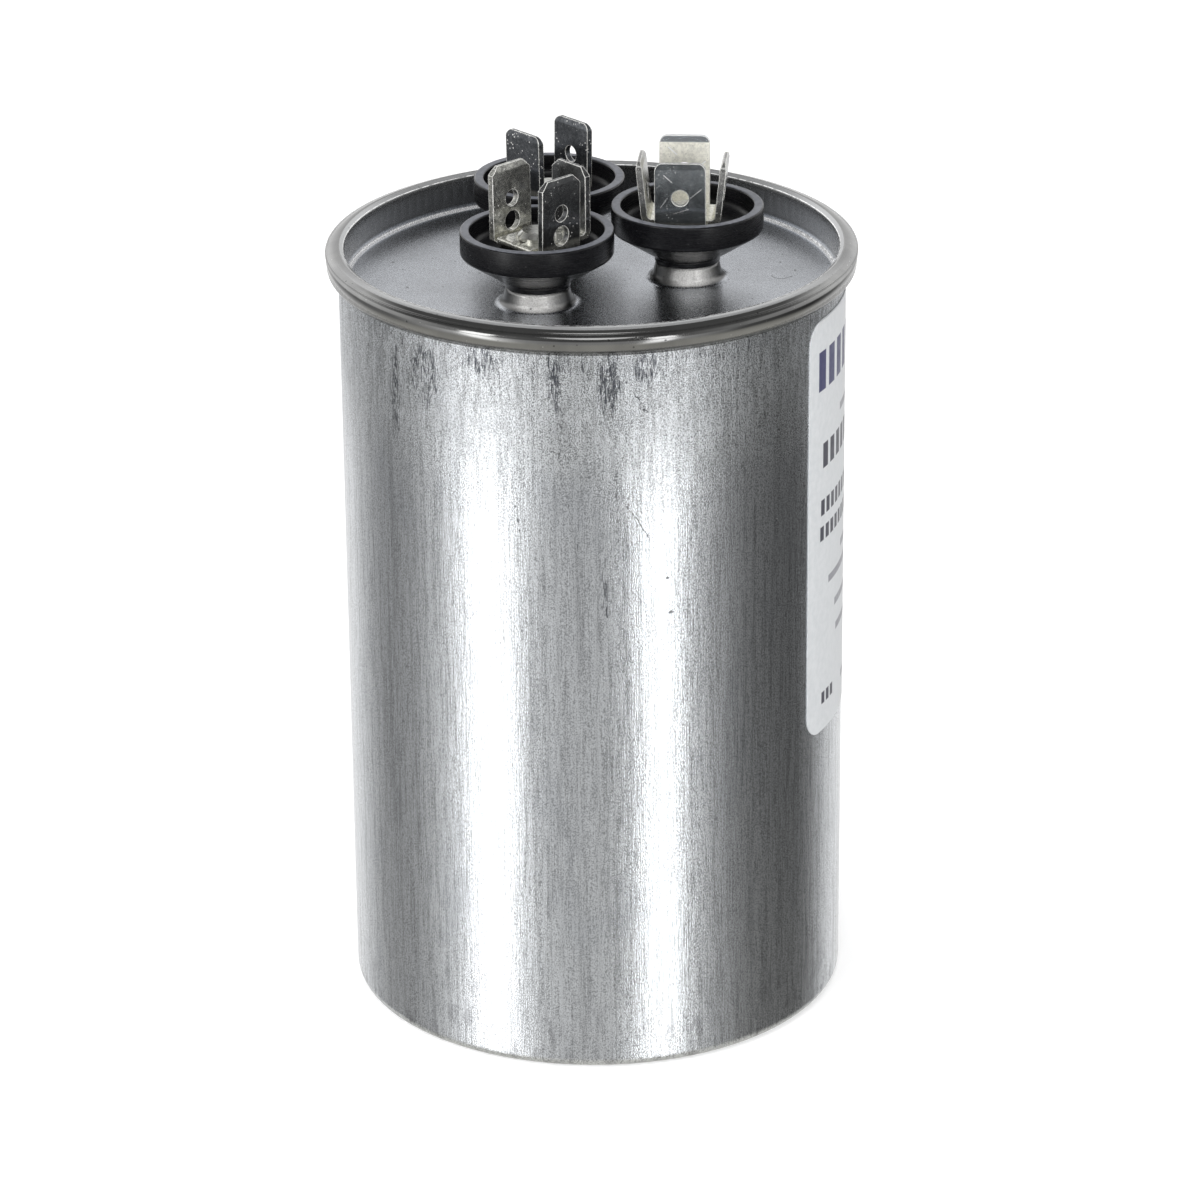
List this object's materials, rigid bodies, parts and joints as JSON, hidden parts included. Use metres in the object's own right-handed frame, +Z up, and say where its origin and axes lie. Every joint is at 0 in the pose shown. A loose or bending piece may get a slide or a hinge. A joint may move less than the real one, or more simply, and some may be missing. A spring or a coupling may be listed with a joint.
{
  "type": "dual run capacitor",
  "caption": "Round dual-section motor run capacitor in a seamed aluminium can, with blade terminals standing in insulator cups on its cover.",
  "frame": {"origin": "middle of the can's flat bottom", "axes": "+Z up along the can's axis towards the terminals, +X towards the common terminal"},
  "size_m": [0.0666, 0.0666, 0.1126],
  "materials": {
    "can_aluminium": "drawn, vertical brush marks, scuffed",
    "cover_tinplate": "matt cover, smooth rolled seam",
    "sealing_compound": "cured compound",
    "label_white": "satin film label",
    "black_phenolic": "satin moulded",
    "tinned_brass": "bright tin plate",
    "rivet_steel": "zinc plated",
    "natural_nylon": "natural",
    "brown_phenolic": "moulded",
    "metallised_film": "wound metallised film",
    "insulating_film": "translucent film",
    "sprayed_zinc": "rough sprayed metal",
    "lead_wire": "tinned copper wire"
  },
  "bodies": {
    "root": {"can": "can_aluminium", "cover": "cover_tinplate", "seam_compound": "sealing_compound", "label": "label_white", "common_cup": "black_phenolic", "compressor_cup": "black_phenolic", "fan_cup": "black_phenolic", "common_lower_blades": "tinned_brass", "common_upper_blades": "tinned_brass", "compressor_lower_blades": "tinned_brass", "compressor_upper_blade": "tinned_brass", "fan_blades": "tinned_brass", "common_rivet": "rivet_steel", "compressor_rivet": "rivet_steel", "fan_rivet": "rivet_steel", "common_bushing": "natural_nylon", "compressor_bushing": "natural_nylon", "fan_bushing": "natural_nylon", "common_tab": "tinned_brass", "compressor_tab": "tinned_brass", "fan_tab": "tinned_brass", "interrupter_plate": "brown_phenolic", "compressor_winding": "metallised_film", "fan_winding": "metallised_film", "core_tube": "natural_nylon", "section_barrier": "insulating_film", "winding_sleeve": "insulating_film", "base_insulator": "natural_nylon", "common_spray": "sprayed_zinc", "compressor_spray": "sprayed_zinc", "fan_spray": "sprayed_zinc", "common_lead": "lead_wire", "compressor_lead": "lead_wire", "fan_lead": "lead_wire"}
  },
  "joints": []
}
